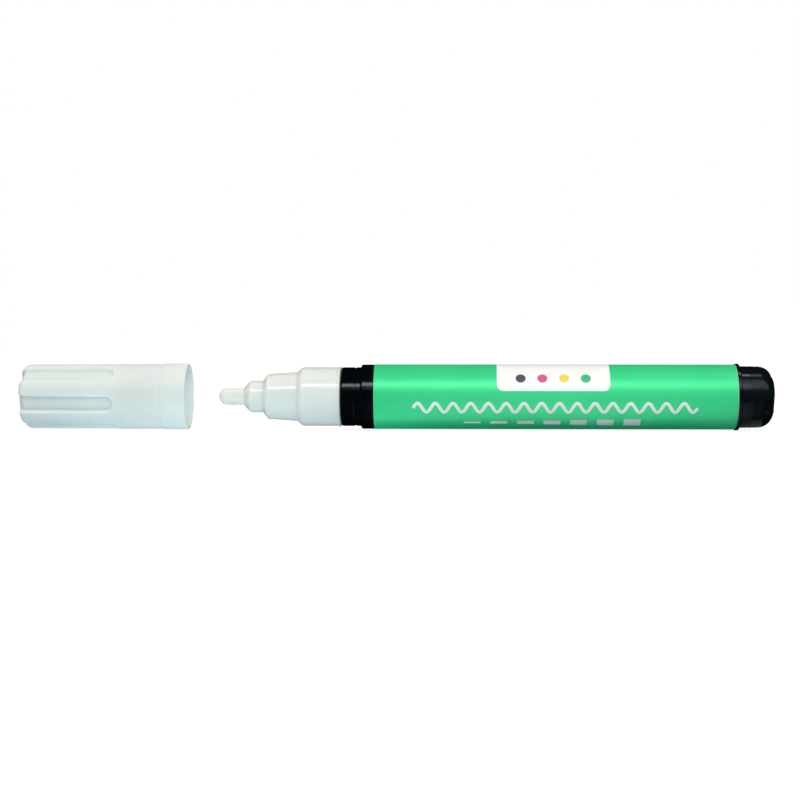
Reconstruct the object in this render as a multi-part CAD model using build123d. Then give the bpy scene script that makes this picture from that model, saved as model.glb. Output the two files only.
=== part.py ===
from build123d import *
import math
import os

# A liquid chalk marker that lies on its side with its cap pulled off in front of the nib.
# Lengths are in millimetres. The pen runs along X, nib towards -X, and rests on Z = 0.
# Stations along the pen are counted from the cap stop, the shoulder that the cap's rim meets.

# Fits shared by all pieces
press_gap = 0.02
running_gap = 0.05
face_gap = 0.3

# Barrel, a black tube with a band, and a neck that the cap slides over
barrel_wall = 1.08
band_drop = 0.05
band_length = 3.2
band_chamfer = 0.5
neck_wall = 1.38
neck_length = 5.0
neck_chamfer = 0.8
snap_groove_station = 1.6
snap_groove_width = 0.5
snap_groove_depth = 0.15
throat_step = 0.85
throat_length = 3.0
throat_taper = 1.5

# Printed sleeve round the barrel
grip_length = 87.4
sleeve_film = 0.15

# Plug that closes the back of the barrel
flange_proud = 0.2
flange_thickness = 0.9
flange_chamfer = 0.2
tail_length = 8.2
tail_step = 0.62
tail_taper = 0.18
tail_rounding = 3.4
tail_wall = 1.8
seam_station = 1.95
seam_width = 0.35
seam_depth = 0.12
spigot_length = 8.0
spigot_wall = 1.2
spigot_lead = 0.8
relief_station = 2.4
relief_length = 3.2
relief_depth = 0.25
notch_count = 4
notch_width = 3.2
notch_depth = 0.9
notch_length = 2.6
notch_start_angle = -18.0

# Nose, a stepped moulding that carries the nib and the valve
collar_drop = 0.03
collar_length = 10.5
collar_land = 0.17
collar_chamfer = 1.1
rim_proud = 0.1
rim_length = 0.5
cone_rear_radius = 5.98
cone_front_radius = 5.48
cone_length = 8.45
cone_land = 0.15
cone_chamfer = 1.0
tip_radius = 3.88
tip_length = 4.65
tip_land = 0.28
tip_chamfer = 1.45
nose_spigot_length = 11.0
nose_spigot_wall = 1.28
bead_height = 0.35
bead_land = 0.4
bead_lead = 1.2
nib_bore_length = 8.0
nib_bore_taper = 1.2
ink_room_radius = 3.2
vent_count = 4
vent_width = 0.8
vent_depth = 0.5
guide_count = 4
guide_width = 0.7
guide_length = 6.0

# Felt nib
nib_radius = 2.1
nib_reach = 6.4
nib_tip_flat = 0.12
nib_rear_chamfer = 0.3
nib_stroke = 1.8

# Valve behind the nib: seat, stem, spring and cage
valve_room_radius = 4.5
seat_station = -6.0
seat_thickness = 2.5
seat_bore_radius = 1.6
seat_cone_depth = 1.0
pin_radius = 1.2
pin_chamfer = 0.25
head_radius = 2.7
head_length = 1.8
head_land = 0.3
stem_tail_radius = 1.1
stem_tail_length = 8.2
cage_wall = 0.8
cage_floor = 1.0
port_count = 4
port_radius = 0.8
port_circle_radius = 2.6
spring_wire_radius = 0.2
spring_wire_sides = 8
spring_coil_radius = 1.85
spring_turns = 6
arcs_per_turn = 2

# Loose steel ball that stirs the ink
ball_radius = 3.5

# Cap, fluted at its closed end
cap_length = 40.9
cap_wall = 0.67
cap_taper = 0.15
cap_end_rounding = 2.0
cap_end_wall = 1.6
cap_rim_proud = 0.1
cap_rim_length = 5.8
cap_rim_slope = 0.25
cap_mouth_chamfer = 0.25
cap_bore_room = 0.9
cap_step_room = 0.22
cap_gap = 7.4
flute_count = 6
flute_width = 4.0
flute_depth = 0.85
flute_length = 23.3
flute_overrun = 0.95
flute_start_angle = -13.0

# Soft seal pressed into the closed end of the cap
seal_wall = 0.9
seal_floor = 1.2
seal_flange = 1.5

# Radii that follow from the values above, from the valve outwards
seat_cone_radius = head_radius - head_land
throat_radius = valve_room_radius + nose_spigot_wall + press_gap
chamber_radius = throat_radius + throat_step
tube_radius = chamber_radius + barrel_wall
grip_radius = tube_radius + press_gap + sleeve_film
band_radius = grip_radius - band_drop
flange_radius = grip_radius + flange_proud
tail_front_radius = flange_radius - tail_step
tail_rear_radius = tail_front_radius - tail_taper
neck_radius = throat_radius + neck_wall
collar_radius = neck_radius - collar_drop
rim_radius = neck_radius + rim_proud
cap_bore_radius = rim_radius + running_gap
cap_body_radius = cap_bore_radius + cap_wall
cap_end_radius = cap_body_radius - cap_taper
cap_rim_radius = cap_body_radius + cap_rim_proud
cap_step_radius = cone_rear_radius + cap_step_room
seal_bore_radius = tip_radius + running_gap
axis_height = max(flange_radius, cap_rim_radius)

# Stations that follow from the values above
grip_end = band_length + grip_length
tail_start = grip_end + flange_thickness
tail_end = tail_start + tail_length
collar_front = -neck_length - collar_length
cone_front = collar_front - cone_length
tip_front = cone_front - tip_length
nib_front = tip_front - nib_reach
seat_rear = seat_station + seat_thickness
nose_rear = nose_spigot_length - neck_length
cage_inside = nose_rear - cage_floor
nib_rear = seat_station - nib_stroke - face_gap
head_rear = seat_rear + head_length
stem_end = head_rear + stem_tail_length
plug_front = grip_end - spigot_length
cap_travel = cap_gap - nib_front
cap_end = cap_travel + cap_length
shoulder_x = (cap_end - tail_end) / 2
ball_front = stem_end + nib_stroke + face_gap + ball_radius
ball_rear = plug_front - face_gap - ball_radius
ball_station = (ball_front + ball_rear) / 2
cap_bore_depth = neck_length + collar_length + cap_bore_room
seal_mouth = face_gap - cone_front


def turned(*outline):
    """Solid turned about X from the corners (x, radius, rounding) of its half section."""
    face = Face(Wire.make_polygon([(x, radius) for x, radius, rounding in outline]))
    for x, radius, rounding in outline:
        if rounding:
            corner = face.vertices().sort_by_distance((x, radius, 0))[0]
            face = face.fillet_2d(rounding, [corner])
    return revolve(face, Axis.X)


def tube(start, end, outer, inner):
    """Plain tube about X between two stations."""
    return turned((start, inner, 0), (start, outer, 0), (end, outer, 0), (end, inner, 0))


def around(piece, count, start_angle=0.0):
    """Copies of a piece spaced evenly about X."""
    return [Rot(X=start_angle + index * 360 / count) * piece for index in range(count)]


def make_barrel():
    """Neck, band and tube in one moulding, open at both ends."""
    groove = tube(
        -snap_groove_station,
        snap_groove_width - snap_groove_station,
        neck_radius + press_gap,
        neck_radius - snap_groove_depth,
    )
    body = turned(
        (-neck_length, throat_radius, 0),
        (-neck_length, neck_radius - neck_chamfer, 0),
        (neck_chamfer - neck_length, neck_radius, 0),
        (0, neck_radius, 0),
        (0, band_radius - band_chamfer, 0),
        (band_chamfer, band_radius, 0),
        (band_length, band_radius, 0),
        (band_length, tube_radius, 0),
        (grip_end, tube_radius, 0),
        (grip_end, chamber_radius, 0),
        (throat_length + throat_taper, chamber_radius, 0),
        (throat_length, throat_radius, 0),
    )
    return body - groove


def make_label_sleeve():
    """Thin printed film wrapped round the tube, from the band to the plug's flange."""
    return tube(band_length, grip_end, grip_radius, grip_radius - sleeve_film)


def make_end_plug():
    """Hollow plug: spigot in the barrel, flange on its end, notched and rounded tail outside."""
    spigot_radius = chamber_radius - press_gap
    hollow_radius = spigot_radius - spigot_wall
    relief_start = plug_front + relief_station
    relief_end = relief_start + relief_length
    plug = turned(
        (plug_front, hollow_radius, 0),
        (plug_front, spigot_radius - spigot_lead / 2, 0),
        (plug_front + spigot_lead, spigot_radius, 0),
        (relief_start, spigot_radius, 0),
        (relief_start, spigot_radius - relief_depth, 0),
        (relief_end, spigot_radius - relief_depth, 0),
        (relief_end, spigot_radius, 0),
        (grip_end, spigot_radius, 0),
        (grip_end, flange_radius - flange_chamfer, 0),
        (grip_end + flange_chamfer, flange_radius, 0),
        (tail_start - flange_chamfer, flange_radius, 0),
        (tail_start, flange_radius - flange_chamfer, 0),
        (tail_start, tail_front_radius, 0),
        (tail_end, tail_rear_radius, tail_rounding),
        (tail_end, 0, 0),
        (tail_end - tail_wall, 0, 0),
        (tail_end - tail_wall, hollow_radius - tail_wall, 0),
        (tail_end - 2 * tail_wall, hollow_radius, 0),
    )
    seam_start = tail_start + seam_station
    seam = tube(seam_start, seam_start + seam_width, flange_radius, tail_front_radius - seam_depth)
    core = turned(
        (tail_start, 0, 0),
        (tail_start, tail_front_radius - notch_depth, 0),
        (tail_end - notch_depth, tail_rear_radius - notch_depth, tail_rounding - notch_depth),
        (tail_end - notch_depth, 0, 0),
    )
    notch_reach = tail_rear_radius - tail_rounding
    notch = Pos(tail_end, -notch_reach) * Box(
        2 * notch_length, tail_rear_radius, notch_width, align=(Align.CENTER, Align.MAX, Align.CENTER)
    )
    notches = [slot - core for slot in around(notch, notch_count, -notch_start_angle)]
    return plug - seam - notches


def make_nose():
    """Stepped nose with the nib's bore and guides, an ink room, and a spigot that snaps into the throat."""
    spigot_radius = throat_radius - press_gap
    bore_radius = nib_radius + running_gap
    bore_end = tip_front + nib_bore_length
    bead_run = bead_height * throat_taper / (chamber_radius - throat_radius)
    bead_start = throat_length + running_gap
    bead_end = bead_start + bead_run + bead_land
    nose = turned(
        (tip_front, bore_radius, 0),
        (tip_front, bore_radius + tip_land, 0),
        (tip_front + tip_chamfer, tip_radius, 0),
        (cone_front, tip_radius, 0),
        (cone_front, tip_radius + cone_land, 0),
        (cone_front + cone_chamfer, cone_front_radius, 0),
        (collar_front, cone_rear_radius, 0),
        (collar_front, cone_rear_radius + collar_land, 0),
        (collar_front + collar_chamfer, collar_radius, 0),
        (-neck_length - rim_length, collar_radius, 0),
        (-neck_length - rim_length, rim_radius, 0),
        (-neck_length, rim_radius, 0),
        (-neck_length, spigot_radius, 0),
        (bead_start, spigot_radius, 0),
        (bead_start + bead_run, spigot_radius + bead_height, 0),
        (bead_end, spigot_radius + bead_height, 0),
        (bead_end + bead_lead, spigot_radius, 0),
        (nose_rear, spigot_radius, 0),
        (nose_rear, valve_room_radius, 0),
        (seat_station, valve_room_radius, 0),
        (seat_station, ink_room_radius, 0),
        (bore_end + nib_bore_taper, ink_room_radius, 0),
        (bore_end, bore_radius, 0),
    )
    vent = Pos(bore_end, 0, bore_radius) * Box(2 * nib_bore_length - face_gap, vent_width, 2 * vent_depth)
    guide = Pos(nib_rear, 0, bore_radius) * Box(
        guide_length,
        guide_width,
        ink_room_radius + press_gap - bore_radius,
        align=(Align.MAX, Align.CENTER, Align.MIN),
    )
    return nose - around(vent, vent_count) + around(guide, guide_count)


def make_nib():
    """Round felt rod with a bullet point."""
    return turned(
        (nib_front, 0, 0),
        (nib_front, nib_radius, nib_radius - nib_tip_flat),
        (nib_rear - nib_rear_chamfer, nib_radius, 0),
        (nib_rear, nib_radius - nib_rear_chamfer, 0),
        (nib_rear, 0, 0),
    )


def make_valve_seat():
    """Soft ring that the stem's head closes from behind."""
    return turned(
        (seat_station, seat_bore_radius, 0),
        (seat_station, valve_room_radius - press_gap, 0),
        (seat_rear, valve_room_radius - press_gap, 0),
        (seat_rear, seat_cone_radius, 0),
        (seat_rear - seat_cone_depth, seat_bore_radius, 0),
    )


def make_valve_stem():
    """Pin that the nib pushes, head with a coned face, and a tail that guides the spring."""
    cone_start = seat_rear - seat_cone_depth
    pin_front = nib_rear + press_gap
    return turned(
        (pin_front, 0, 0),
        (pin_front, pin_radius - pin_chamfer, 0),
        (pin_front + pin_chamfer, pin_radius, 0),
        (cone_start + press_gap, pin_radius, 0),
        (cone_start + press_gap, seat_bore_radius, 0),
        (seat_rear + press_gap, seat_cone_radius, 0),
        (seat_rear + press_gap, head_radius, 0),
        (head_rear, head_radius, 0),
        (head_rear, stem_tail_radius, 0),
        (stem_end - pin_chamfer, stem_tail_radius, 0),
        (stem_end, stem_tail_radius - pin_chamfer, 0),
        (stem_end, 0, 0),
    )


def make_valve_cage():
    """Cup that presses the seat home and backs the spring, with ports for the ink."""
    outer = valve_room_radius - press_gap
    cage = turned(
        (seat_rear, outer - cage_wall, 0),
        (seat_rear, outer, 0),
        (nose_rear, outer, 0),
        (nose_rear, stem_tail_radius + running_gap, 0),
        (cage_inside, stem_tail_radius + running_gap, 0),
        (cage_inside, outer - cage_wall, 0),
    )
    port = Pos(cage_inside, port_circle_radius, 0) * Rot(Y=90) * Cylinder(port_radius, 4 * cage_floor)
    return cage - around(port, port_count)


def helix_point(turn, start, pitch):
    """Point on the spring's centre line, and its direction, after a number of turns."""
    angle = 2 * math.pi * turn
    point = Vector(
        start + pitch * turn,
        spring_coil_radius * math.cos(angle),
        spring_coil_radius * math.sin(angle),
    )
    around_speed = 2 * math.pi * spring_coil_radius
    direction = Vector(pitch, -around_speed * math.sin(angle), around_speed * math.cos(angle))
    return point, direction.normalized()


def helix_arcs(start, pitch):
    """Centre line of the spring as pairs of tangent arcs, each pair one share of a turn."""
    arcs = []
    for index in range(spring_turns * arcs_per_turn):
        first, leaving = helix_point(index / arcs_per_turn, start, pitch)
        last, arriving = helix_point((index + 1) / arcs_per_turn, start, pitch)
        chord = last - first
        slope = chord.dot(leaving + arriving)
        bend = 2 * (1 - leaving.dot(arriving))
        handle = (math.sqrt(slope**2 + bend * chord.dot(chord)) - slope) / bend
        middle = (first + last + (leaving - arriving) * handle) / 2
        joining = (middle - first - leaving * handle).normalized()
        arcs.append(Edge.make_tangent_arc(first, leaving, middle))
        arcs.append(Edge.make_tangent_arc(middle, joining, last))
    return arcs


def make_valve_spring():
    """Wire, drawn with flats, coiled between the stem's head and the floor of the cage."""
    start = head_rear + spring_wire_radius + press_gap
    end = cage_inside - spring_wire_radius - press_gap
    pitch = (end - start) / spring_turns
    path = Wire(helix_arcs(start, pitch))
    section = Plane(path @ 0, z_dir=path % 0) * RegularPolygon(spring_wire_radius, spring_wire_sides)
    return sweep(section, path=path), spring_gap(start, pitch)


def spring_gap(start, pitch):
    """Least free gap between neighbouring turns of the spring, measured on points of its centre line."""
    samples_per_turn = 24
    steps = range(spring_turns * samples_per_turn + 1)
    points = [helix_point(step / samples_per_turn, start, pitch)[0] for step in steps]
    half_turn = samples_per_turn // 2
    spans = [
        (points[later] - points[earlier]).length
        for earlier in steps
        for later in steps[earlier + half_turn :]
    ]
    return min(spans) - 2 * spring_wire_radius


def make_mixing_ball():
    """Ball that lies on the floor of the ink chamber."""
    drop = chamber_radius - ball_radius - running_gap
    return Pos(ball_station, 0, -drop) * Sphere(ball_radius)


def cap_outline(inset):
    """Half section of the cap's outside with its mouth at X = 0, drawn in by an inset."""
    return turned(
        (0, 0, 0),
        (0, cap_body_radius - inset, 0),
        (inset - cap_length, cap_end_radius - inset, cap_end_rounding - inset),
        (inset - cap_length, 0, 0),
    )


def make_cap():
    """Tapered cap with a thicker rim, a stepped bore, and flutes that run over its closed end."""
    inside_wall = cap_body_radius - cap_wall / 2
    rim = turned(
        (0, inside_wall, 0),
        (0, cap_rim_radius - cap_mouth_chamfer, 0),
        (-cap_mouth_chamfer, cap_rim_radius, 0),
        (-cap_rim_length, cap_rim_radius, 0),
        (-cap_rim_length - cap_rim_slope, inside_wall, 0),
    )
    bore = turned(
        (0, 0, 0),
        (0, cap_bore_radius + cap_mouth_chamfer, 0),
        (-cap_mouth_chamfer, cap_bore_radius, 0),
        (-cap_bore_depth, cap_bore_radius, 0),
        (-cap_bore_depth, cap_step_radius, 0),
        (cap_end_wall - cap_length, cap_step_radius, 0),
        (cap_end_wall - cap_length, 0, 0),
    )
    flute_reach = cap_end_radius - cap_end_rounding - flute_overrun
    flute_run = flute_length - flute_width / 2 - cap_length
    half_width = flute_width / 2
    plan = Rectangle(flute_length, flute_width, align=(Align.MAX, Align.CENTER)) + Circle(half_width)
    upright = Plane(origin=(flute_run, -flute_reach, 0), x_dir=(1, 0, 0), z_dir=(0, -1, 0))
    slot = extrude(upright * plan, cap_body_radius)
    floor = cap_outline(flute_depth)
    flutes = [cutter - floor for cutter in around(slot, flute_count, -flute_start_angle)]
    shell = cap_outline(0) + rim - bore - flutes
    return Pos(-cap_travel) * shell


def make_cap_inner_seal():
    """Spool-shaped cup that closes over the nose's tip and keeps the nib from drying."""
    outer = cap_step_radius - press_gap
    waist = seal_bore_radius + seal_wall
    floor_end = cap_end_wall - cap_length
    seal = turned(
        (-seal_mouth, seal_bore_radius, 0),
        (-seal_mouth, outer, 0),
        (-seal_mouth - seal_flange, outer, 0),
        (-seal_mouth - seal_flange, waist, 0),
        (floor_end + seal_flange, waist, 0),
        (floor_end + seal_flange, outer, 0),
        (floor_end, outer, 0),
        (floor_end, 0, 0),
        (floor_end + seal_floor, 0, 0),
        (floor_end + seal_floor, seal_bore_radius, 0),
    )
    return Pos(-cap_travel) * seal


valve_spring, least_gap = make_valve_spring()
print(f"valve spring: least gap between turns {least_gap:.2f} mm")

pieces = {
    "barrel": make_barrel(),
    "label_sleeve": make_label_sleeve(),
    "end_plug": make_end_plug(),
    "nose": make_nose(),
    "nib": make_nib(),
    "valve_seat": make_valve_seat(),
    "valve_stem": make_valve_stem(),
    "valve_spring": valve_spring,
    "valve_cage": make_valve_cage(),
    "mixing_ball": make_mixing_ball(),
    "cap": make_cap(),
    "cap_inner_seal": make_cap_inner_seal(),
}

os.makedirs("parts", exist_ok=True)
resting_place = Pos(shoulder_x, 0, axis_height)
for name, piece in pieces.items():
    export_step(resting_place * piece, f"parts/{name}.step")
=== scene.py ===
import math

import bmesh
import bpy
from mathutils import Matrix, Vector, noise


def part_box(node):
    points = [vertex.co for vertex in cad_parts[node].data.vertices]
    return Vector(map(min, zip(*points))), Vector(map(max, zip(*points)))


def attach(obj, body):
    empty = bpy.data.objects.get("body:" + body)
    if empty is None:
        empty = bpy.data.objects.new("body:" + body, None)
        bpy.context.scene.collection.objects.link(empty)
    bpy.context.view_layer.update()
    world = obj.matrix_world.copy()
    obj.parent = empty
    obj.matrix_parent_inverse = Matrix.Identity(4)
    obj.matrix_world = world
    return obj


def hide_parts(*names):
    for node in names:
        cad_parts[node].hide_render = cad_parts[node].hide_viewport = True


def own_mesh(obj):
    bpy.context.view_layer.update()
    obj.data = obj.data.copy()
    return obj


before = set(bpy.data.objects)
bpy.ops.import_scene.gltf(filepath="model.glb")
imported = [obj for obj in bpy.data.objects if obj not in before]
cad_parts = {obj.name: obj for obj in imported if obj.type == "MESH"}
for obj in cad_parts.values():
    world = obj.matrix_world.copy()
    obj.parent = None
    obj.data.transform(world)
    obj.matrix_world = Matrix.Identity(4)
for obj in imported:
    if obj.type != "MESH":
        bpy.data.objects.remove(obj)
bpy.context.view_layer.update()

# A liquid chalk marker with its cap pulled off in front of its nib. Sizes are in millimetres until
# a mesh is finished. Stations run along the pen's axis, which is the frame's X.
MM = 0.001


def span(node):
    """First station, last station and outer radius of a node, in millimetres."""
    low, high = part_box(node)
    return low.x / MM, high.x / MM, (high.z - low.z) / 2 / MM


neck_front, barrel_end, band_radius = span("barrel")
label_start, label_end, label_radius = span("label_sleeve")
plug_front, tail_end, flange_radius = span("end_plug")
tip_front, nose_rear, rim_radius = span("nose")
nib_front, nib_rear, nib_radius = span("nib")
cap_end, cap_mouth, cap_rim_radius = span("cap")
spring_front, spring_rear, spring_radius = span("valve_spring")
low_corner, high_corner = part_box("label_sleeve")
axis_height = (low_corner.z + high_corner.z) / 2 / MM
# Room left between the faces of two fitted pieces, so that neither lies in the other.
fit_gap = 0.02

# Barrel
neck_length = 5.0
neck_rounding = 0.7
neck_radius = 7.18
throat_radius = 5.8
throat_length = 3.0
throat_taper = 1.5
chamber_radius = 6.65
groove_station = 1.6
groove_width = 0.5
groove_depth = 0.15
film_thickness = 0.15
ink_thickness = 0.03
shoulder = neck_front + neck_length

# End plug
flange_thickness = 0.9
tail_front_radius = 7.48
tail_rear_radius = 7.3
tail_rounding = 3.4
tail_wall = 1.8
seam_station = 1.95
seam_width = 0.35
seam_depth = 0.12
plug_wall = 1.2
notch_count = 4
notch_width = 3.2
notch_depth = 0.9
notch_wall = 0.4
notch_length = 2.6
notch_angle = math.radians(-18)
tail_start = label_end + flange_thickness

# Nose
collar_length = 10.5
collar_radius = 7.15
rim_length = 0.5
cone_length = 8.45
cone_rear_radius = 5.98
cone_front_radius = 5.48
tip_radius = 3.88
tip_face = 0.28
tip_chamfer = 1.45
cone_face = 0.15
cone_chamfer = 1.0
collar_face = 0.17
collar_chamfer = 1.1
bore_radius = 2.15
bore_length = 8.0
bore_funnel = 1.2
ink_room_radius = 3.2
valve_room_radius = 4.5
valve_seat_front = span("valve_seat")[0]
collar_front = neck_front - collar_length
cone_front = collar_front - cone_length

# Cap
cap_end_radius = 7.85
cap_body_radius = 8.0
cap_end_rounding = 2.0
cap_end_wall = 1.6
cap_rim_length = 5.8
cap_rim_slope = 0.25
cap_bore_radius = 7.33
cap_bore_depth = 16.4
cap_step_radius = 6.2
flute_count = 6
flute_width = 4.0
flute_depth = 0.85
flute_wall = 0.45
flute_length = 23.3
flute_reach = 4.9
flute_angle = math.radians(-13)


# Meshes

sharp_angle = math.radians(40)
merge_distance = 1e-4


def rounded(sheet, corners, size, segments):
    """Rounds corners of a wire or of a flat sheet."""
    bmesh.ops.bevel(
        sheet,
        geom=corners,
        offset=size,
        offset_type="OFFSET",
        segments=segments,
        profile=0.5,
        affect="VERTICES",
        material=-1,
    )


def add_support(wire):
    """Splits each long edge of a wire close to a much shorter one, so that it is shaded as straight."""
    gap = 0.04
    shortest = 4 * gap
    contrast = 3
    lengths = {edge: edge.calc_length() for edge in wire.edges}
    places = [
        (edge, vert)
        for edge, length in lengths.items()
        for vert in edge.verts
        if length > shortest and any(length > contrast * lengths[other] for other in vert.link_edges)
    ]
    for edge, vert in places:
        bmesh.utils.edge_split(edge, vert, gap / edge.calc_length())


def turned(outline, columns, closed=False, segments=5):
    """Shell spun about the pen's axis from the corners (station, radius, rounding) of a half section."""
    shell = bmesh.new()
    corners = [shell.verts.new((station, 0, radius)) for station, radius, rounding in outline]
    followers = corners[1:] + corners[:1] if closed else corners[1:]
    for first, second in zip(corners, followers):
        shell.edges.new((first, second))
    for corner, (station, radius, rounding) in zip(corners, outline):
        if rounding:
            rounded(shell, [corner], rounding, max(segments, round(segments * rounding)))
    add_support(shell)
    bmesh.ops.spin(
        shell,
        geom=shell.verts[:] + shell.edges[:],
        cent=(0, 0, 0),
        axis=(1, 0, 0),
        angle=2 * math.pi,
        steps=columns,
        use_merge=True,
    )
    bmesh.ops.remove_doubles(shell, verts=shell.verts[:], dist=merge_distance)
    bmesh.ops.recalc_face_normals(shell, faces=shell.faces[:])
    return shell


def finished(shell, name, body, materials, nodes=()):
    """Piece made from a mesh that was drawn in millimetres about the pen's axis."""
    for vert in shell.verts:
        vert.co = Vector((vert.co.x, vert.co.y, vert.co.z + axis_height)) * MM
    for face in shell.faces:
        face.smooth = True
    mesh = bpy.data.meshes.new(name)
    shell.to_mesh(mesh)
    shell.free()
    mesh.set_sharp_from_angle(angle=sharp_angle)
    for material in materials:
        mesh.materials.append(material)
    piece = bpy.data.objects.new(name, mesh)
    bpy.context.scene.collection.objects.link(piece)
    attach(piece, body)
    if nodes:
        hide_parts(*nodes)
    return piece


def smooth_step(value, width):
    """Rises from 0 to 1 over a width about zero."""
    share = min(max(value / width + 0.5, 0), 1)
    return share * share * (3 - 2 * share)


def sink_slots(shell, count, first_angle, depth, wall, room):
    """Sinks equal slots spaced about the axis; room tells how far inside a slot a point lies."""
    pitch = 2 * math.pi / count
    normals = {vert: vert.normal.copy() for vert in shell.verts}
    for vert, normal in normals.items():
        radius = math.hypot(vert.co.y, vert.co.z)
        bearing = math.atan2(vert.co.z, -vert.co.y) - first_angle
        offset = (bearing + pitch / 2) % pitch - pitch / 2
        inside = room(vert.co.x, radius * math.cos(offset), radius * math.sin(offset))
        vert.co -= normal * depth * smooth_step(inside, wall)


def wrapped(sheet, lift):
    """Bends a flat sheet, with X along the pen and Y round it, onto the label, facing the front."""
    for vert in sheet.verts:
        angle = vert.co.y / label_radius
        radius = label_radius + lift + vert.co.z
        vert.co = (vert.co.x, -radius * math.cos(angle), radius * math.sin(angle))


# Materials


def linear(code):
    """Linear colour of an sRGB hex code."""
    shares = [int(code[place : place + 2], 16) / 255 for place in (0, 2, 4)]
    return [s / 12.92 if s <= 0.04045 else ((s + 0.055) / 1.055) ** 2.4 for s in shares] + [1.0]


def add(tree, kind, sockets=(), **settings):
    """Adds a node, sets its properties, and sets or links its sockets."""
    node = tree.nodes.new("ShaderNode" + kind)
    for name, value in settings.items():
        setattr(node, name, value)
    for name, value in dict(sockets).items():
        if isinstance(value, bpy.types.NodeSocket):
            tree.links.new(value, node.inputs[name])
        else:
            node.inputs[name].default_value = value
    return node


def per_mm(size):
    """Scale of a pattern on Object coordinates, whose features are a size in millimetres."""
    return 1 / (size * MM)


def surface(
    name, dark, light, mottle_mm, rough, grain_mm, grain_height_mm, stretch=(1, 1, 1), **shader
):
    """Material mottled between two colours, with a grained roughness and relief."""
    material = bpy.data.materials.new(name)
    material.use_nodes = True
    tree = material.node_tree
    tree.nodes.clear()
    place = add(tree, "TexCoord")
    drawn = add(tree, "Mapping", {"Vector": place.outputs["Object"], "Scale": stretch})
    mottle = add(
        tree,
        "TexNoise",
        {"Vector": drawn.outputs["Vector"], "Scale": per_mm(mottle_mm), "Detail": 3.0},
    )
    grain = add(
        tree,
        "TexNoise",
        {"Vector": drawn.outputs["Vector"], "Scale": per_mm(grain_mm), "Detail": 2.0},
    )
    colour = add(tree, "ValToRGB", {"Fac": mottle.outputs["Fac"]})
    colour.color_ramp.elements[0].position = 0.3
    colour.color_ramp.elements[0].color = linear(dark)
    colour.color_ramp.elements[1].position = 0.7
    colour.color_ramp.elements[1].color = linear(light)
    roughness = add(
        tree,
        "MapRange",
        {"Value": grain.outputs["Fac"], "To Min": rough[0], "To Max": rough[1]},
    )
    relief = add(
        tree,
        "Bump",
        {"Height": grain.outputs["Fac"], "Distance": grain_height_mm * MM, "Strength": 1.0},
    )
    skin = add(
        tree,
        "BsdfPrincipled",
        {
            "Base Color": colour.outputs["Color"],
            "Roughness": roughness.outputs["Result"],
            "Normal": relief.outputs["Normal"],
        },
    )
    for socket, value in shader.items():
        skin.inputs[socket.replace("_", " ")].default_value = value
    add(tree, "OutputMaterial", {"Surface": skin.outputs["BSDF"]})
    return material


# Unpigmented polypropylene from a mould with a fine matt finish: milky, so light that enters it
# softens every shade, and a wide dull sheen in place of a highlight.
matt_polypropylene = surface(
    "natural polypropylene, matt moulded",
    "e2eeea",
    "e9f2ee",
    mottle_mm=9,
    rough=(0.42, 0.52),
    grain_mm=0.5,
    grain_height_mm=0.004,
    IOR=1.49,
    Subsurface_Weight=1.0,
    Subsurface_Radius=(1.0, 1.0, 1.0),
    Subsurface_Scale=1.2 * MM,
)

# The same plastic from a polished mould: the milky body shows under a clear soft highlight.
gloss_polypropylene = surface(
    "natural polypropylene, polished moulded",
    "e8f0eb",
    "eff4ef",
    mottle_mm=7,
    rough=(0.15, 0.2),
    grain_mm=0.6,
    grain_height_mm=0.002,
    IOR=1.49,
    Specular_IOR_Level=0.9,
    Subsurface_Weight=1.0,
    Subsurface_Radius=(1.0, 1.0, 1.0),
    Subsurface_Scale=1.2 * MM,
)

# Black pigmented polypropylene from a lightly polished mould: nearly black, and each lamp shows in it
# as a cool patch with soft edges.
soft_black_polypropylene = surface(
    "black polypropylene, lightly polished moulded",
    "070e12",
    "0b1418",
    mottle_mm=4,
    rough=(0.16, 0.22),
    grain_mm=0.45,
    grain_height_mm=0.003,
    IOR=1.49,
)

# The same plastic from a polished mould, on the barrel: a narrow bright highlight on deep black.
black_polypropylene = surface(
    "black polypropylene, polished moulded",
    "03060a",
    "060a0d",
    mottle_mm=4,
    rough=(0.1, 0.16),
    grain_mm=0.6,
    grain_height_mm=0.002,
    IOR=1.49,
)

# Printed polypropylene film with a satin varnish over a bright green ink that has some metal in it:
# a broad highlight of its own colour and a quick fall to dark at the sides.
green_film = surface(
    "varnished film, printed metallic green",
    "36ee99",
    "3ff3a2",
    mottle_mm=14,
    rough=(0.38, 0.44),
    grain_mm=0.7,
    grain_height_mm=0.0015,
    IOR=1.5,
    Specular_IOR_Level=0.8,
    Metallic=0.28,
)

# The film's own white, bare at its cut edges and as solid white ink: clean and slightly glossy.
white_film = surface(
    "varnished film, white ink",
    "f4f7f5",
    "fbfcfb",
    mottle_mm=6,
    rough=(0.3, 0.38),
    grain_mm=0.7,
    grain_height_mm=0.0015,
    IOR=1.5,
)

# Solid colours printed over the white: flat and clean under the same varnish.
dot_inks = [
    surface(
        f"varnished film, {name} ink",
        dark,
        light,
        mottle_mm=1.5,
        rough=(0.3, 0.38),
        grain_mm=0.7,
        grain_height_mm=0.0015,
        IOR=1.5,
    )
    for name, dark, light in (
        ("slate", "46525a", "4e5b63"),
        ("magenta", "d4588f", "de669b"),
        ("yellow", "f1d544", "f6de5c"),
        ("green", "2fbf78", "3ac984"),
    )
]

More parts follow.
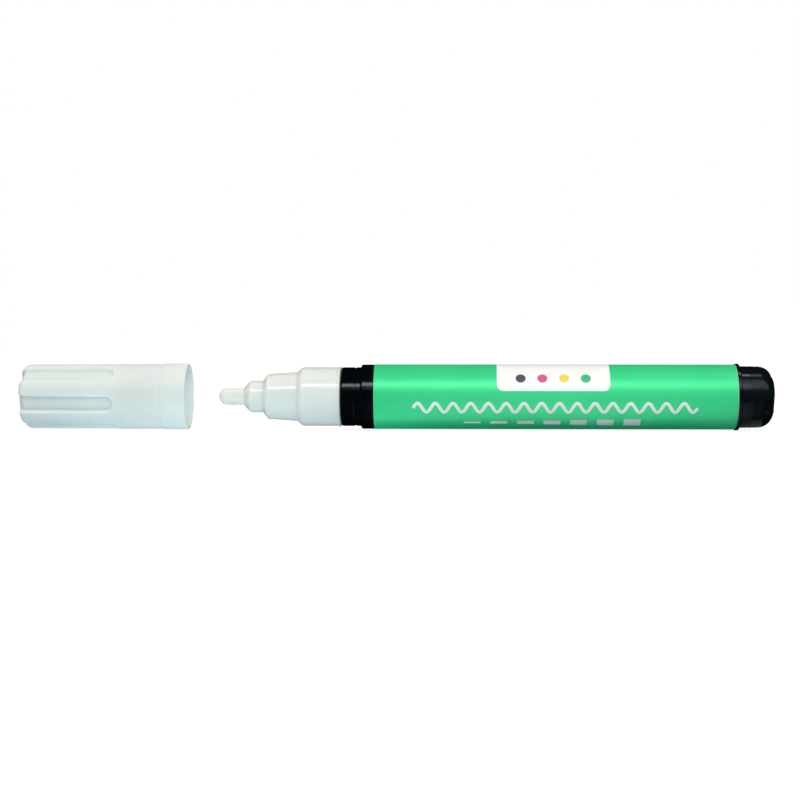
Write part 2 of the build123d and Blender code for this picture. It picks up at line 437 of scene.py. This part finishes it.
# Polyester fibres pressed and bonded into a rod: dull, off-white, with fine lines along it.
# Real fibres are about 0.03 mm thick, and are drawn ten times as coarse so that they show.
fibre_felt = surface(
    "polyester fibre, pressed and bonded",
    "e0e7df",
    "eff3ec",
    mottle_mm=1.2,
    rough=(0.85, 0.98),
    grain_mm=0.3,
    grain_height_mm=0.05,
    stretch=(0.14, 1, 1),
    IOR=1.45,
    Sheen_Weight=0.3,
    Sheen_Roughness=0.5,
)

# Soft polyethylene, moulded: waxy and translucent, with no sharp highlight.
soft_polyethylene = surface(
    "soft polyethylene, moulded",
    "d3dcda",
    "dfe7e4",
    mottle_mm=5,
    rough=(0.5, 0.6),
    grain_mm=0.5,
    grain_height_mm=0.004,
    IOR=1.51,
    Subsurface_Weight=0.5,
    Subsurface_Radius=(1.0, 1.0, 1.0),
    Subsurface_Scale=3 * MM,
)

# Stainless spring wire, drawn through a die: bright, with faint streaks along it.
stainless_wire = surface(
    "stainless steel, drawn wire",
    "a9adb0",
    "c2c6c8",
    mottle_mm=0.6,
    rough=(0.22, 0.34),
    grain_mm=0.15,
    grain_height_mm=0.002,
    Metallic=1.0,
)

# Hardened steel ball, ground and polished: a mirror with the faintest haze.
polished_steel = surface(
    "hardened steel, polished",
    "b4b7b9",
    "c4c7c8",
    mottle_mm=2,
    rough=(0.06, 0.1),
    grain_mm=0.3,
    grain_height_mm=0.0005,
    Metallic=1.0,
)


# Pieces


def make_barrel():
    """Black neck with its snap groove, the band where the cap stops, and the tube under the label."""
    tube_radius = label_radius - film_thickness - fit_gap
    groove_front = shoulder - groove_station
    groove_rear = groove_front + groove_width
    outline = [
        (neck_front, throat_radius, 0),
        (neck_front, neck_radius, neck_rounding),
        (groove_front, neck_radius, 0.06),
        (groove_front, neck_radius - groove_depth, 0.05),
        (groove_rear, neck_radius - groove_depth, 0.05),
        (groove_rear, neck_radius, 0.06),
        (shoulder, neck_radius, 0.1),
        (shoulder, band_radius, 0.5),
        (label_start, band_radius, 0.04),
        (label_start, tube_radius, 0),
        (barrel_end, tube_radius, 0.1),
        (barrel_end, chamber_radius, 0.1),
        (shoulder + throat_length + throat_taper, chamber_radius, 0.3),
        (shoulder + throat_length, throat_radius, 0.3),
    ]
    shell = turned(outline, columns=192, closed=True)
    finished(shell, "barrel_moulding", "marker", [black_polypropylene], ["barrel"])


def make_label():
    """Printed film round the tube, with a narrow bare margin at its rear edge."""
    margin = 0.07
    inner = label_radius - film_thickness
    outline = [
        (label_start, inner, 0),
        (label_start, label_radius, 0.05),
        (label_end - margin, label_radius, 0),
        (label_end, label_radius, 0.05),
        (label_end, inner, 0),
    ]
    film = turned(outline, columns=256, closed=True, segments=3)
    for face in film.faces:
        bare = face.calc_center_median().x > label_end - margin
        face.material_index = 1 if bare else 0
    finished(film, "label_film", "marker", [green_film, white_film], ["label_sleeve"])


def make_end_plug():
    """Black plug with its flange, seam and rounded tail, which has four notches over its edge."""
    spigot_radius = chamber_radius - fit_gap
    hollow_radius = spigot_radius - plug_wall
    hollow_skin = 0.2
    notch_reach = tail_rear_radius - tail_rounding
    row_step, end_rows = 0.2, 3
    seam_front = tail_start + seam_station
    seam_rear = seam_front + seam_width
    outline = [
        (tail_end - tail_wall, 0, 0),
        (tail_end - tail_wall, hollow_radius, tail_wall),
        (plug_front, hollow_radius, 0.1),
        (plug_front, spigot_radius, 0.5),
        (label_end, spigot_radius, 0),
        (label_end, flange_radius, 0.15),
        (tail_start, flange_radius, 0.25),
        (tail_start, tail_front_radius, 0.1),
        (seam_front, tail_front_radius, 0.06),
        (seam_front, tail_front_radius - seam_depth, 0.04),
        (seam_rear, tail_front_radius - seam_depth, 0.04),
        (seam_rear, tail_front_radius, 0.06),
        (tail_end, tail_rear_radius, tail_rounding),
    ]
    outline += [(tail_end, notch_reach - row_step * (row + 1), 0) for row in range(end_rows)]
    outline += [(tail_end, 0, 0)]
    shell = turned(outline, columns=480, segments=7)

    def notch_room(station, outward, sideways):
        outside = outward > hollow_radius + hollow_skin or station > tail_end - tail_wall / 2
        reach = min(
            notch_width / 2 - abs(sideways),
            outward - notch_reach,
            station - (tail_end - notch_length),
        )
        return reach if outside and station > tail_end - tail_rounding else -1

    sink_slots(shell, notch_count, notch_angle, notch_depth, notch_wall, notch_room)
    finished(
        shell, "end_plug_moulding", "marker", [soft_black_polypropylene], ["end_plug"]
    )


def make_nose():
    """Stepped white nose: tip, coned step, collar and spigot, bored for the nib and the valve."""
    spigot_radius = throat_radius - fit_gap
    bore_end = tip_front + bore_length
    outline = [
        (tip_front, bore_radius, 0.08),
        (tip_front, bore_radius + tip_face, 0.08),
        (tip_front + tip_chamfer, tip_radius, 0.4),
        (cone_front, tip_radius, 0.08),
        (cone_front, tip_radius + cone_face, 0.05),
        (cone_front + cone_chamfer, cone_front_radius, 0.35),
        (collar_front, cone_rear_radius, 0.08),
        (collar_front, cone_rear_radius + collar_face, 0.05),
        (collar_front + collar_chamfer, collar_radius, 0.35),
        (neck_front - rim_length, collar_radius, 0.05),
        (neck_front - rim_length, rim_radius, 0.05),
        (neck_front, rim_radius, 0.08),
        (neck_front, spigot_radius, 0),
        (nose_rear, spigot_radius, 0.3),
        (nose_rear, valve_room_radius, 0.15),
        (valve_seat_front, valve_room_radius, 0),
        (valve_seat_front, ink_room_radius, 0.1),
        (bore_end + bore_funnel, ink_room_radius, 0.3),
        (bore_end, bore_radius, 0.2),
    ]
    shell = turned(outline, columns=192, closed=True)
    finished(shell, "nose_moulding", "marker", [gloss_polypropylene], ["nose"])


def make_nib():
    """Felt rod with a bullet point, its skin a little uneven where fibres end."""
    point_flat = 0.15
    row_before_nose, row_in_nose = 5.0, 6.4
    unevenness = 0.05
    lumps_along, lumps_across = 0.5, 1.6
    outline = [
        (nib_front, 0, 0),
        (nib_front, nib_radius, nib_radius - point_flat),
        (nib_front + row_before_nose, nib_radius, 0),
        (nib_front + row_in_nose, nib_radius, 0),
        (nib_rear, nib_radius, 0.3),
        (nib_rear, 0, 0),
    ]
    rod = turned(outline, columns=96, segments=8)
    for vert in rod.verts:
        place = (vert.co.x * lumps_along, vert.co.y * lumps_across, vert.co.z * lumps_across)
        lump = noise.noise(Vector(place))
        vert.co -= vert.normal * unevenness * (0.5 + 0.5 * lump)
    finished(rod, "felt_nib", "nib", [fibre_felt], ["nib"])


def make_cap():
    """White cap with a thicker rim at its mouth, and flutes that run over its closed end."""
    row_step = 0.2
    rows_before, rows_after = 0.5, 0.9
    inner_skin = 0.5
    taper = (cap_body_radius - cap_end_radius) / (cap_mouth - cap_end)
    slope_start = cap_mouth - cap_rim_length - cap_rim_slope
    flute_front = cap_end + flute_length
    flute_turn = flute_front - flute_width / 2
    end_rows = int((cap_end_radius - cap_end_rounding - flute_reach) / row_step) + 3
    body_rows = round((rows_before + flute_width / 2 + rows_after) / row_step)

    def body_point(station):
        return station, cap_end_radius + taper * (station - cap_end), 0

    outline = [(cap_end, 0, 0)]
    outline += [(cap_end, flute_reach + row_step * (row - 2), 0) for row in range(end_rows)]
    outline += [(cap_end, cap_end_radius, cap_end_rounding)]
    outline += [body_point(flute_turn - rows_before + row_step * row) for row in range(body_rows)]
    outline += [
        (slope_start, body_point(slope_start)[1], 0.2),
        (cap_mouth - cap_rim_length, cap_rim_radius, 0.12),
        (cap_mouth, cap_rim_radius, 0.25),
        (cap_mouth, cap_bore_radius, 0.2),
        (cap_mouth - cap_bore_depth, cap_bore_radius, 0.2),
        (cap_mouth - cap_bore_depth, cap_step_radius, 0.1),
        (cap_end + cap_end_wall, cap_step_radius, 0.3),
        (cap_end + cap_end_wall, 0, 0),
    ]
    shell = turned(outline, columns=480, segments=5)

    def flute_room(station, outward, sideways):
        far_out = math.hypot(outward, sideways) > cap_step_radius + inner_skin
        outside = far_out or station < cap_end + inner_skin
        beyond = max(station - flute_turn, 0)
        reach = min(flute_width / 2 - math.hypot(sideways, beyond), outward - flute_reach)
        return reach if outside and station < flute_front + flute_wall else -1

    sink_slots(shell, flute_count, flute_angle, flute_depth, flute_wall, flute_room)
    finished(shell, "cap_moulding", "cap", [matt_polypropylene], ["cap"])


def make_valve_spring():
    """Coil of round wire between the valve's head and its cage, drawn at one length; the real coil
    shortens as the valve opens.
    """
    turns, steps_per_turn = 6, 48
    wire_radius, wire_sides = 0.2, 16
    steps = turns * steps_per_turn
    start, end = spring_front + wire_radius, spring_rear - wire_radius
    coil = bmesh.new()
    bmesh.ops.create_circle(coil, segments=wire_sides, radius=wire_radius)
    bmesh.ops.translate(coil, vec=(start, spring_radius - wire_radius, 0), verts=coil.verts[:])
    bmesh.ops.spin(
        coil,
        geom=coil.verts[:] + coil.edges[:],
        cent=(0, 0, 0),
        axis=(1, 0, 0),
        dvec=((end - start) / steps, 0, 0),
        angle=2 * math.pi * turns,
        steps=steps,
    )
    open_ends = [edge for edge in coil.edges if edge.is_boundary]
    bmesh.ops.holes_fill(coil, edges=open_ends, sides=wire_sides)
    bmesh.ops.recalc_face_normals(coil, faces=coil.faces[:])
    spring = finished(
        coil, "valve_spring_coil", "marker", [stainless_wire], ["valve_spring"]
    )
    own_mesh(spring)


# The print: a white field with a row of colour dots, a wavy stroke and dashes of growing width


def make_patch(sheet, name, ink, lift, strips):
    """Patch of ink from a flat sheet, cut into strips so that it bends round the label."""
    snap_distance = 0.01
    levels = [vert.co.y for vert in sheet.verts]
    bottom, top = min(levels), max(levels)
    for strip in range(1, strips):
        bmesh.ops.bisect_plane(
            sheet,
            geom=sheet.verts[:] + sheet.edges[:] + sheet.faces[:],
            dist=snap_distance,
            plane_co=(0, bottom + (top - bottom) * strip / strips, 0),
            plane_no=(0, 1, 0),
        )
    bmesh.ops.recalc_face_normals(sheet, faces=sheet.faces[:])
    bmesh.ops.solidify(sheet, geom=sheet.faces[:], thickness=ink_thickness)
    middle = sum(vert.co.z for vert in sheet.verts) / len(sheet.verts)
    bmesh.ops.translate(sheet, vec=(0, 0, -middle), verts=sheet.verts[:])
    wrapped(sheet, lift)
    bmesh.ops.recalc_face_normals(sheet, faces=sheet.faces[:])
    finished(sheet, name, "marker", [ink])


def make_panel():
    """White field with rounded corners, over the top of the label."""
    left, right = 29.7, 56.8
    bottom, top = math.radians(12) * label_radius, math.radians(104) * label_radius
    corner = 1.6
    sheet = bmesh.new()
    places = [(left, bottom), (right, bottom), (right, top), (left, top)]
    verts = [sheet.verts.new((label_start + along, level, 0)) for along, level in places]
    sheet.faces.new(verts)
    rounded(sheet, verts, corner, segments=8)
    make_patch(sheet, "label_panel", white_film, lift=0.005, strips=36)


def make_dots():
    """Row of plain colour dots across the white field."""
    first, spacing, radius = 35.4, 5.2, 1.2
    level = math.radians(36) * label_radius
    for index, ink in enumerate(dot_inks):
        sheet = bmesh.new()
        bmesh.ops.create_circle(sheet, cap_ends=True, segments=64, radius=radius)
        place = (label_start + first + spacing * index, level, 0)
        bmesh.ops.translate(sheet, vec=place, verts=sheet.verts[:])
        make_patch(sheet, f"label_dot_{index + 1}", ink, lift=0.022, strips=12)


def inked(strokes):
    """Flat ink strokes, each a list of (along, round) points and a width, as one mesh."""
    ink_height = 0.02
    line = bpy.data.curves.new("ink", "CURVE")
    line.dimensions = "3D"
    line.bevel_depth = 0.5
    line.bevel_resolution = 3
    line.use_fill_caps = True
    for points, width in strokes:
        spline = line.splines.new("POLY")
        spline.points.add(len(points) - 1)
        for place, (along, round_) in zip(spline.points, points):
            place.co = (label_start + along, round_, 0, 1)
            place.radius = width
    drawing = bpy.data.objects.new("ink", line)
    bpy.context.scene.collection.objects.link(drawing)
    bpy.context.view_layer.update()
    drawn = drawing.evaluated_get(bpy.context.evaluated_depsgraph_get())
    mesh = bpy.data.meshes.new_from_object(drawn)
    sheet = bmesh.new()
    sheet.from_mesh(mesh)
    bpy.data.objects.remove(drawing)
    bpy.data.curves.remove(line)
    bpy.data.meshes.remove(mesh)
    bmesh.ops.remove_doubles(sheet, verts=sheet.verts[:], dist=merge_distance)
    for vert in sheet.verts:
        vert.co.z = math.copysign(min(abs(vert.co.z), ink_height), vert.co.z)
    wrapped(sheet, 0)
    bmesh.ops.recalc_face_normals(sheet, faces=sheet.faces[:])
    return sheet


def make_strokes():
    """Stroke samples in white ink: a wave along the label, and dashes of growing width under it."""
    wave_level = math.radians(-18) * label_radius
    wave_start, wave_length, wave_pitch, wave_rise, wave_width = 9.6, 68.0, 4.25, 1.15, 0.75
    steps_per_mm = 6
    steps = round(wave_length * steps_per_mm)
    wave = []
    for step in range(steps + 1):
        along = wave_length * step / steps
        rise = wave_rise * math.sin(2 * math.pi * along / wave_pitch)
        wave.append((wave_start + along, wave_level + rise))
    finished(inked([(wave, wave_width)]), "label_wave", "marker", [white_film])

    dash_level = math.radians(-50) * label_radius
    dash_start, dash_length, dash_gap, dash_count = 21.8, 4.0, 2.4, 7
    thinnest, growth = 0.6, 0.3
    dashes = []
    for index in range(dash_count):
        start = dash_start + index * (dash_length + dash_gap)
        width = thinnest + growth * index
        dashes.append(([(start, dash_level), (start + dash_length, dash_level)], width))
    finished(inked(dashes), "label_dashes", "marker", [white_film])


make_barrel()
make_label()
make_end_plug()
make_nose()
make_nib()
make_cap()
make_valve_spring()
make_panel()
make_dots()
make_strokes()

inner_finishes = {
    "valve_seat": soft_polyethylene,
    "valve_stem": gloss_polypropylene,
    "valve_cage": gloss_polypropylene,
    "mixing_ball": polished_steel,
    "cap_inner_seal": soft_polyethylene,
}
for node, material in inner_finishes.items():
    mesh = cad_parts[node].data
    mesh.materials.clear()
    mesh.materials.append(material)


# Studio


def make_floor():
    """Plain pale floor that runs past the picture on every side."""
    sheet = bmesh.new()
    bmesh.ops.create_grid(sheet, x_segments=1, y_segments=1, size=4.0)
    mesh = bpy.data.meshes.new("floor")
    sheet.to_mesh(mesh)
    sheet.free()
    paper = bpy.data.materials.new("white paper, matt")
    paper.use_nodes = True
    tree = paper.node_tree
    tree.nodes.clear()
    matt = add(tree, "BsdfDiffuse", {"Color": linear("8c8c8c")})
    glow = add(tree, "Emission", {"Color": linear("ffffff"), "Strength": 0.86})
    both = add(tree, "AddShader")
    tree.links.new(matt.outputs["BSDF"], both.inputs[0])
    tree.links.new(glow.outputs["Emission"], both.inputs[1])
    add(tree, "OutputMaterial", {"Surface": both.outputs["Shader"]})
    mesh.materials.append(paper)
    floor = bpy.data.objects.new("floor", mesh)
    bpy.context.scene.collection.objects.link(floor)
    floor.visible_diffuse = False
    floor.visible_glossy = False
    floor.visible_shadow = False


def make_world():
    """Pale light from all round but straight below. The camera sees plain white, and gloss none of it."""
    world = bpy.data.worlds.new("studio")
    bpy.context.scene.world = world
    world.use_nodes = True
    tree = world.node_tree
    tree.nodes.clear()
    place = add(tree, "TexCoord")
    parts = add(tree, "SeparateXYZ", {"Vector": place.outputs["Generated"]})
    share = add(tree, "MapRange", {"Value": parts.outputs["Z"], "From Min": -1.0, "From Max": 1.0})
    shade = add(tree, "ValToRGB", {"Fac": share.outputs["Result"]})
    cool, warm = linear("c8dce8"), linear("cac8c2")
    stops = shade.color_ramp.elements
    stops[0].position = 0.22
    stops[0].color = linear("000000")
    stops[1].position = 0.8
    stops[1].color = linear("e4dad4")
    for position, tint in ((0.3, cool), (0.48, cool), (0.56, warm), (0.7, warm)):
        stops.new(position).color = tint
    room = add(tree, "Background", {"Color": shade.outputs["Color"], "Strength": 1.15})
    white = add(tree, "Background", {"Color": linear("ffffff"), "Strength": 1.0})
    path = add(tree, "LightPath")
    seen = add(tree, "MixShader", {"Fac": path.outputs["Is Camera Ray"]})
    tree.links.new(room.outputs["Background"], seen.inputs[1])
    tree.links.new(white.outputs["Background"], seen.inputs[2])
    add(tree, "OutputWorld", {"Surface": seen.outputs["Shader"]})
    world.cycles_visibility.glossy = False


def outward(bearing, height):
    """Unit vector to a bearing, counted from the pen's front to its right, and a height, in degrees."""
    turn, rise = math.radians(bearing), math.radians(height)
    level = math.cos(rise)
    return Vector((math.sin(turn) * level, -math.cos(turn) * level, math.sin(rise)))


def make_light(
    name, tint, along, height, distance, size, power, bearing=0, spread=180, glossy=True, diffuse=True
):
    """Soft box aimed at a station of the pen. Its size and distance are in metres."""
    away = outward(bearing, height)
    lamp = bpy.data.lights.new(name, "AREA")
    lamp.shape = "RECTANGLE"
    lamp.size, lamp.size_y = size
    lamp.energy = power
    lamp.color = linear(tint)[:3]
    lamp.spread = math.radians(spread)
    light = bpy.data.objects.new(name, lamp)
    light.location = Vector((along, 0, axis_height)) * MM + away * distance
    light.rotation_euler = (-away).to_track_quat("-Z", "Y").to_euler()
    light.visible_glossy = glossy
    light.visible_diffuse = diffuse
    bpy.context.scene.collection.objects.link(light)


def make_lights():
    """Long soft box over the front, with smaller ones that each serve one part of the marker."""
    make_light("key", "fffefb", along=-105, height=47, distance=0.6, size=(0.49, 0.12), power=0.76)
    make_light(
        "key beside the plug",
        "f4fbff",
        along=290,
        height=52,
        distance=0.6,
        size=(0.3, 0.38),
        power=0.34,
    )
    make_light(
        "key round the plug's end",
        "f4fbff",
        along=690,
        height=52,
        distance=0.6,
        size=(0.5, 0.3),
        power=0.45,
        diffuse=False,
    )
    make_light(
        "strip over the plug",
        "ffffff",
        along=136,
        height=90,
        distance=0.3,
        size=(0.018, 0.03),
        power=0.016,
    )
    make_light(
        "table under the plug",
        "e6f2f6",
        along=114,
        height=-60,
        distance=0.12,
        size=(0.022, 0.12),
        power=0.002,
        bearing=180,
    )
    make_light(
        "card under the white parts",
        "e4f2f8",
        along=-50,
        height=-76,
        distance=0.12,
        size=(0.09, 0.06),
        power=0.0145,
        spread=50,
        glossy=False,
    )
    make_light(
        "card in front of the label",
        "ffffff",
        along=55,
        height=-4,
        distance=0.25,
        size=(0.09, 0.03),
        power=0.012,
        spread=70,
        glossy=False,
    )
    make_light(
        "table in front of the label",
        "ffffff",
        along=47.5,
        height=-54,
        distance=0.12,
        size=(0.104, 0.17),
        power=0.045,
        diffuse=False,
    )
    make_light(
        "key over the label",
        "ffffff",
        along=72,
        height=38,
        distance=0.6,
        size=(0.208, 0.2),
        power=0.18,
        diffuse=False,
    )
    make_light(
        "card at the cap's mouth",
        "f2f8fb",
        along=-47.3,
        height=6,
        distance=0.1,
        size=(0.006, 0.011),
        power=0.000055,
        bearing=30,
        spread=3,
        glossy=False,
    )


def make_camera():
    """Camera at the photograph's view: almost level with the pen, a little to its right."""
    image_width = 800
    pixels_per_mm = 4.088
    distance = 420
    aim = Vector((1.18, 0, axis_height - 0.82))
    away = outward(bearing=2, height=2)
    lens = bpy.data.cameras.new("camera")
    lens.sensor_width = 36
    lens.lens = pixels_per_mm * distance * lens.sensor_width / image_width
    lens.clip_start = 0.01
    camera = bpy.data.objects.new("camera", lens)
    camera.location = (aim + away * distance) * MM
    camera.rotation_euler = (-away).to_track_quat("-Z", "Y").to_euler()
    bpy.context.scene.collection.objects.link(camera)
    bpy.context.scene.camera = camera


make_floor()
make_world()
make_lights()
make_camera()
bpy.context.scene.view_settings.view_transform = "Standard"
